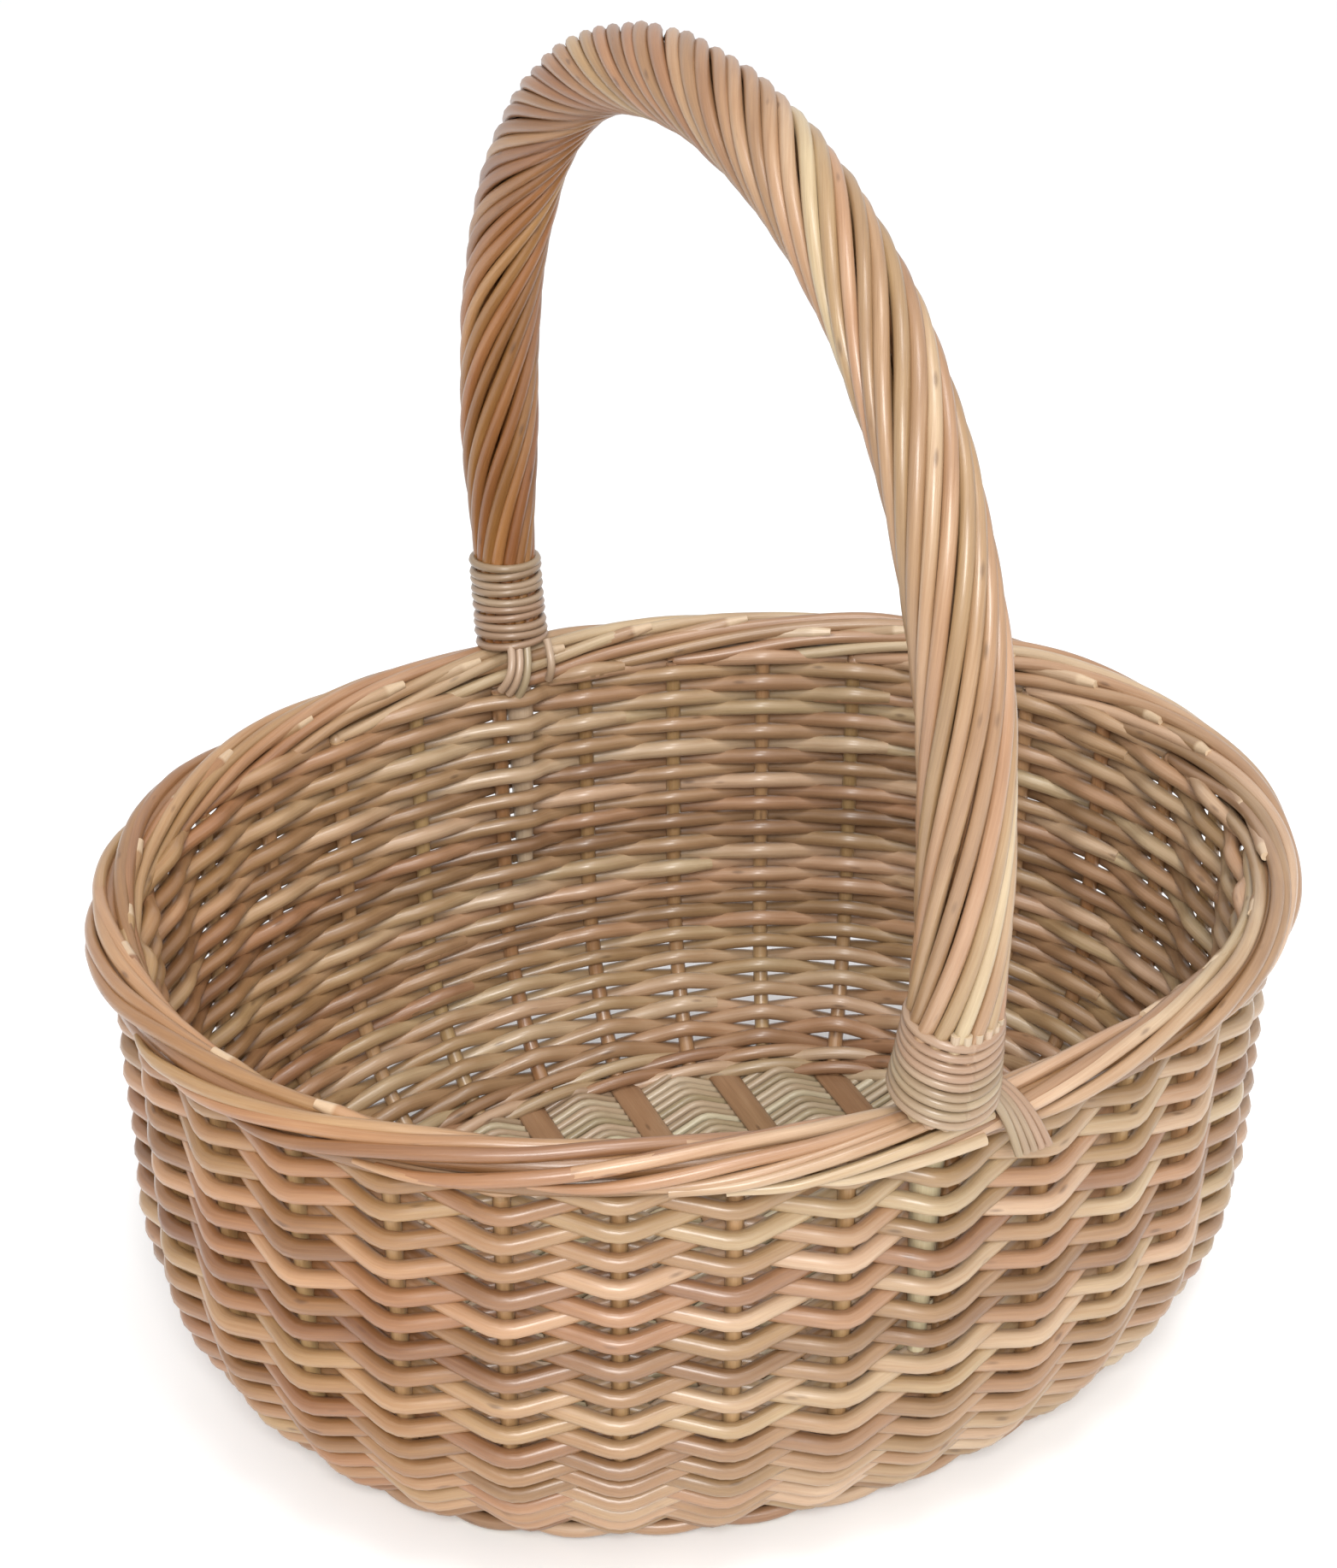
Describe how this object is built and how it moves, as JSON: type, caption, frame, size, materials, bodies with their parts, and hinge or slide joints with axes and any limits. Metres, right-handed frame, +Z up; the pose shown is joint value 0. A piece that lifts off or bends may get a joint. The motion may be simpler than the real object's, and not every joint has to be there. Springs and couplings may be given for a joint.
{
  "type": "market basket",
  "caption": "Oval woven willow market basket with a rounded wall, rod border, slatted base and a fixed wrapped bow handle bound to the border at both feet.",
  "frame": {"origin": "centre of the base's underside, on the floor", "axes": "+X along the basket's long axis, +Y across it towards the far handle foot, +Z up"},
  "size_m": [0.4, 0.3608, 0.443],
  "materials": {
    "buff_willow": "satin buff willow rods",
    "pale_willow": "pale peeled willow",
    "golden_willow": "satin golden-brown willow"
  },
  "bodies": {
    "root": {"base_weave": "pale_willow", "base_cross_slats": "buff_willow", "upsett_wale": "buff_willow", "side_stakes": "golden_willow", "lower_siding": "buff_willow", "middle_siding": "buff_willow", "upper_siding": "buff_willow", "border_outer_rods": "buff_willow", "border_inner_rods": "buff_willow", "border_rod_ends": "pale_willow", "handle_core": "pale_willow", "handle_wrap_rods": "buff_willow", "near_collar": "golden_willow", "far_collar": "golden_willow", "near_collar_tails": "golden_willow", "far_collar_tails": "golden_willow"}
  },
  "joints": []
}
